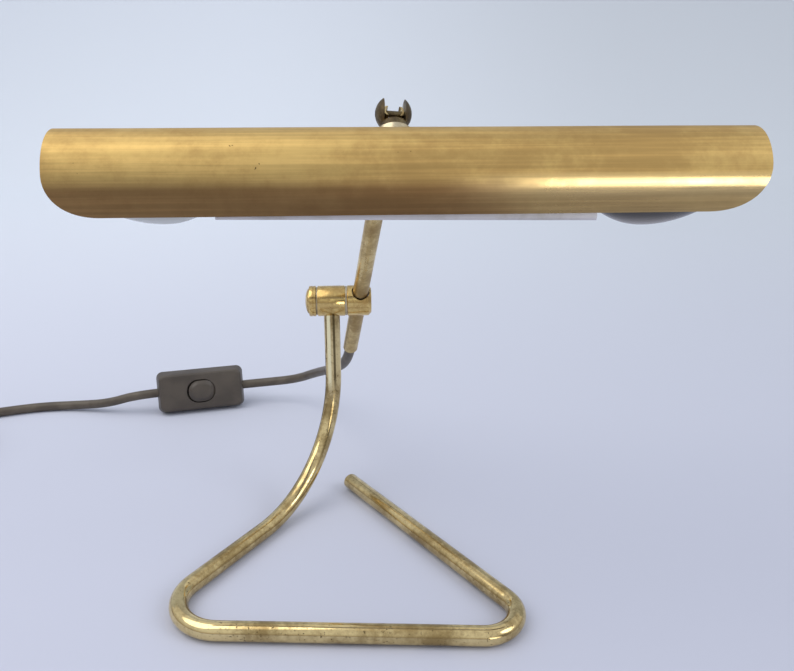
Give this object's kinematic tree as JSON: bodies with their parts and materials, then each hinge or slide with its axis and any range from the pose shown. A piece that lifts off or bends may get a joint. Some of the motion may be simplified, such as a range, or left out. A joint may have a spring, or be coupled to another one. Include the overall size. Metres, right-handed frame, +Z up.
{
  "type": "piano lamp",
  "caption": "Piano lamp: a bent rod foot and stem, a clamped tilting arm, and a long curved brass shade over candle bulbs, with a cord and in-line switch.",
  "frame": {"origin": "middle of the lamp's box without its cord, on the table it stands on", "axes": "+X along the shade to the viewer's right, -Y towards the keyboard side where the light falls, +Z up"},
  "size_m": [0.5944, 0.3098, 0.2542],
  "materials": {
    "aged_brass": "worn satin with dark spots",
    "dark_brass": "tarnished",
    "bright_brass": "plain satin",
    "steel": "plain",
    "tray_metal": "grey-white enamel",
    "opal_glass": "opal",
    "cap_metal": "rolled",
    "contact_solder": "dull",
    "phenolic": "moulded dark",
    "block_plastic": "moulded",
    "switch_plastic": "brown moulded",
    "cord_sheath": "brown sheath",
    "core_sheath": "sleeved cores"
  },
  "bodies": {
    "base": {"foot_rod": "aged_brass", "knuckle_barrel": "aged_brass", "knob_washer": "bright_brass", "slip_washer": "steel", "lead_drop": "cord_sheath", "lead_side": "cord_sheath", "lead_coil": "cord_sheath", "lead_tail": "cord_sheath", "switch_face_shell": "switch_plastic", "switch_back_shell": "switch_plastic", "switch_contacts": "bright_brass", "switch_bridge": "bright_brass", "switch_screws": "steel", "cord_grips": "switch_plastic", "plug_body": "switch_plastic", "plug_pins": "bright_brass", "plug_relief": "switch_plastic"},
    "knob": {"clamp_knob": "aged_brass"},
    "holder": {"arm_holder": "aged_brass", "eye_bolt": "steel"},
    "bush": {"cord_bush": "phenolic"},
    "arm": {"arm_tube": "aged_brass", "arm_lead": "cord_sheath"},
    "ball": {"slotted_ball": "dark_brass", "pivot_pin": "dark_brass", "hollow_stud": "bright_brass", "stud_nut": "bright_brass", "joint_wires": "core_sheath"},
    "shade": {"saddle_washer": "bright_brass", "shade_sheet": "aged_brass", "lamp_tray": "tray_metal", "tray_hanger": "steel", "tray_screws": "steel", "lampholder_left": "phenolic", "thread_sleeve_left": "bright_brass", "centre_contact_left": "bright_brass", "bulb_cap_left": "cap_metal", "bulb_tip_left": "contact_solder", "bulb_glass_left": "opal_glass", "lampholder_right": "phenolic", "thread_sleeve_right": "bright_brass", "centre_contact_right": "bright_brass", "bulb_cap_right": "cap_metal", "bulb_tip_right": "contact_solder", "bulb_glass_right": "opal_glass", "terminal_block": "block_plastic", "terminal_screws": "steel", "tray_wires": "core_sheath"},
    "rocker": {"switch_rocker": "switch_plastic"}
  },
  "joints": [
    {"name": "clamp_knob_turn", "type": "hinge", "parent": "base", "child": "knob", "pos_m": [-0.0483, 0.0632, 0.1287], "axis": [0.9981, 0.061, 0], "range_deg": [0, 270]},
    {"name": "knuckle_swing", "type": "hinge", "parent": "base", "child": "holder", "pos_m": [-0.0483, 0.0632, 0.1287], "axis": [0.9981, 0.061, 0], "range_deg": [-20, 39], "deforming": ["lead_drop"]},
    {"name": "arm_slide", "type": "slide", "parent": "holder", "child": "bush", "axis": [0.1479, -0.5929, 0.7916], "range_m": [0, 0.035]},
    {"name": "arm_turn", "type": "hinge", "parent": "bush", "child": "arm", "pos_m": [-0.03108, 0.06425, 0.1287], "axis": [0.1479, -0.5929, 0.7916], "range_deg": [-30, 30]},
    {"name": "shade_tilt", "type": "hinge", "parent": "arm", "child": "ball", "pos_m": [-0.00902, -0.02415, 0.24672], "axis": [0.9866, 0.1439, -0.0766], "range_deg": [-80, 9], "deforming": ["joint_wires"]},
    {"name": "shade_swivel", "type": "hinge", "parent": "ball", "child": "shade", "pos_m": [-0.00902, -0.02415, 0.24672], "axis": [-0.0397, 0.668, 0.7431], "range_deg": [-35, 35]},
    {"name": "switch_rock", "type": "hinge", "parent": "base", "child": "rocker", "pos_m": [-0.16696, 0.18506, 0.01712], "axis": [0.0517, -0.1892, -0.9806], "range_deg": [0, 14]}
  ]
}
